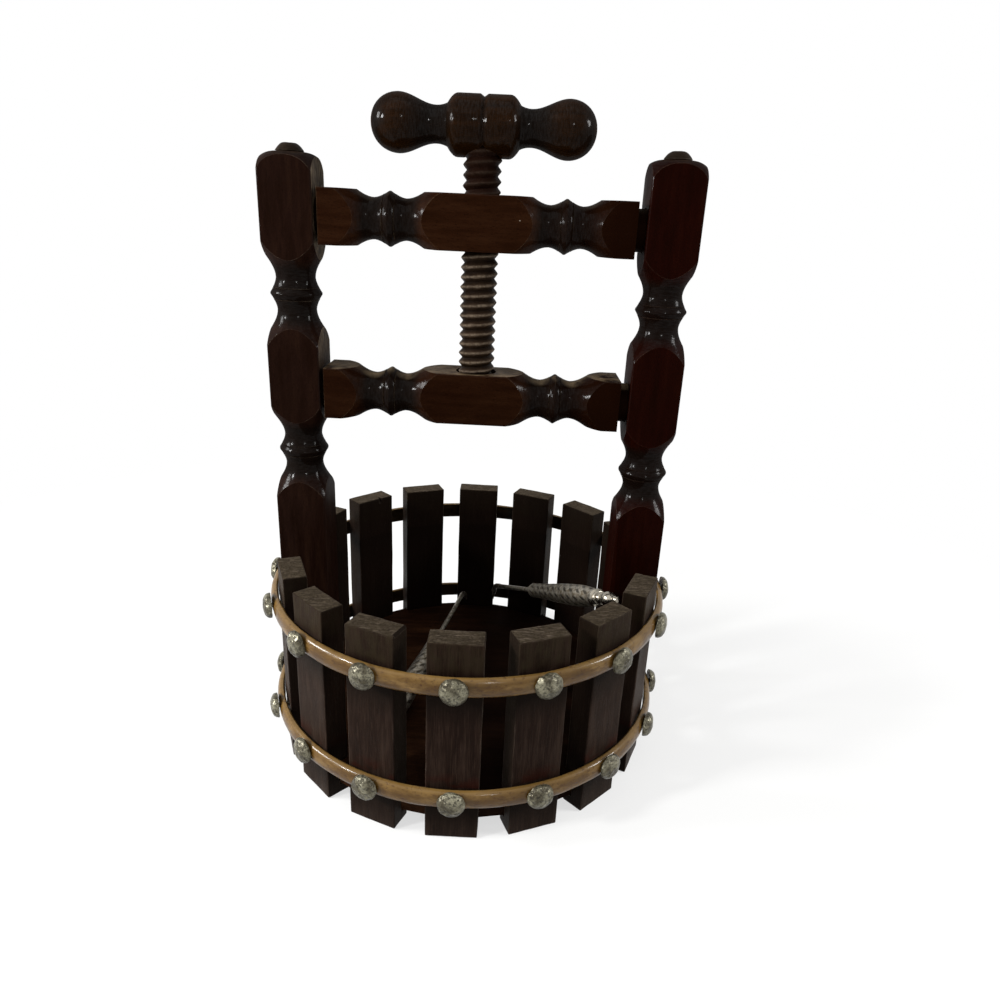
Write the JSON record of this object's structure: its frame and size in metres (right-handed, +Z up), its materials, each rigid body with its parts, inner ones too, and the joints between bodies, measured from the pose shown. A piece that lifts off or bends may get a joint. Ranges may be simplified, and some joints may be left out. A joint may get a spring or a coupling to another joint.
{
  "type": "nut bowl with cracker",
  "caption": "Small staved wooden nut bowl shaped like a wishing well: turned posts and bars carry a wooden screw cracker with a T-handle; steel nut picks lie inside.",
  "frame": {"origin": "on the ground, under the axis of the press screw, in the middle of the ring of staves", "axes": "+Z up along the press screw, +X towards the right post, +Y to the back; the front is -Y"},
  "size_m": [0.167, 0.167, 0.2456],
  "materials": {
    "stave": "stained and waxed, satin",
    "turned": "dark stain under a worn gloss lacquer",
    "floor": "dark stain, satin",
    "cane": "half-round cane, varnished",
    "tack": "hammered antique nickel",
    "screw": "bare worn thread",
    "handle": "red brown gloss lacquer",
    "dowel": "bare wood",
    "steel": "polished"
  },
  "bodies": {
    "well": {"floor_disc": "floor", "post_left": "turned", "post_right": "turned", "bar_lower": "turned", "bar_upper": "turned", "hoop_lower": "cane", "hoop_upper": "cane", "button_left": "turned", "button_right": "turned", "stave_front_1": "stave", "stave_front_2": "stave", "stave_front_3": "stave", "stave_front_4": "stave", "stave_front_5": "stave", "stave_front_6": "stave", "stave_front_7": "stave", "stave_back_1": "stave", "stave_back_2": "stave", "stave_back_3": "stave", "stave_back_4": "stave", "stave_back_5": "stave", "stave_back_6": "stave", "stave_back_7": "stave", "tack_lower_01": "tack", "tack_lower_02": "tack", "tack_lower_03": "tack", "tack_lower_04": "tack", "tack_lower_05": "tack", "tack_lower_06": "tack", "tack_lower_07": "tack", "tack_lower_08": "tack", "tack_lower_09": "tack", "tack_lower_10": "tack", "tack_lower_11": "tack", "tack_lower_12": "tack", "tack_lower_13": "tack", "tack_lower_14": "tack", "tack_lower_15": "tack", "tack_lower_16": "tack", "tack_upper_01": "tack", "tack_upper_02": "tack", "tack_upper_03": "tack", "tack_upper_04": "tack", "tack_upper_05": "tack", "tack_upper_06": "tack", "tack_upper_07": "tack", "tack_upper_08": "tack", "tack_upper_09": "tack", "tack_upper_10": "tack", "tack_upper_11": "tack", "tack_upper_12": "tack", "tack_upper_13": "tack", "tack_upper_14": "tack", "tack_upper_15": "tack", "tack_upper_16": "tack"},
    "press_slide": {"screw_dowel": "dowel"},
    "press_turn": {"press_screw": "screw", "turn_handle": "handle"},
    "pick_floor": {"nut_pick_floor": "steel"},
    "pick_leaning": {"nut_pick_leaning": "steel"}
  },
  "joints": [
    {"name": "press_lift", "type": "slide", "parent": "well", "child": "press_slide", "axis": [0, 0, 1], "range_m": [0, 0.0408]},
    {"name": "press_turning", "type": "hinge", "parent": "press_slide", "child": "press_turn", "pos_m": [0, 0, 0.2357], "axis": [0, 0, 1], "range_deg": [0, 4320]},
    {"name": "pick_floor_lift", "type": "slide", "parent": "well", "child": "pick_floor", "axis": [0, 0, 1], "range_m": [0, 0.05]},
    {"name": "pick_leaning_lift", "type": "slide", "parent": "well", "child": "pick_leaning", "axis": [0, 0, 1], "range_m": [0, 0.05]}
  ],
  "couplings": [
    {"joint": "press_lift", "follows": "press_turning", "m_per_rad": 0.00054113}
  ]
}
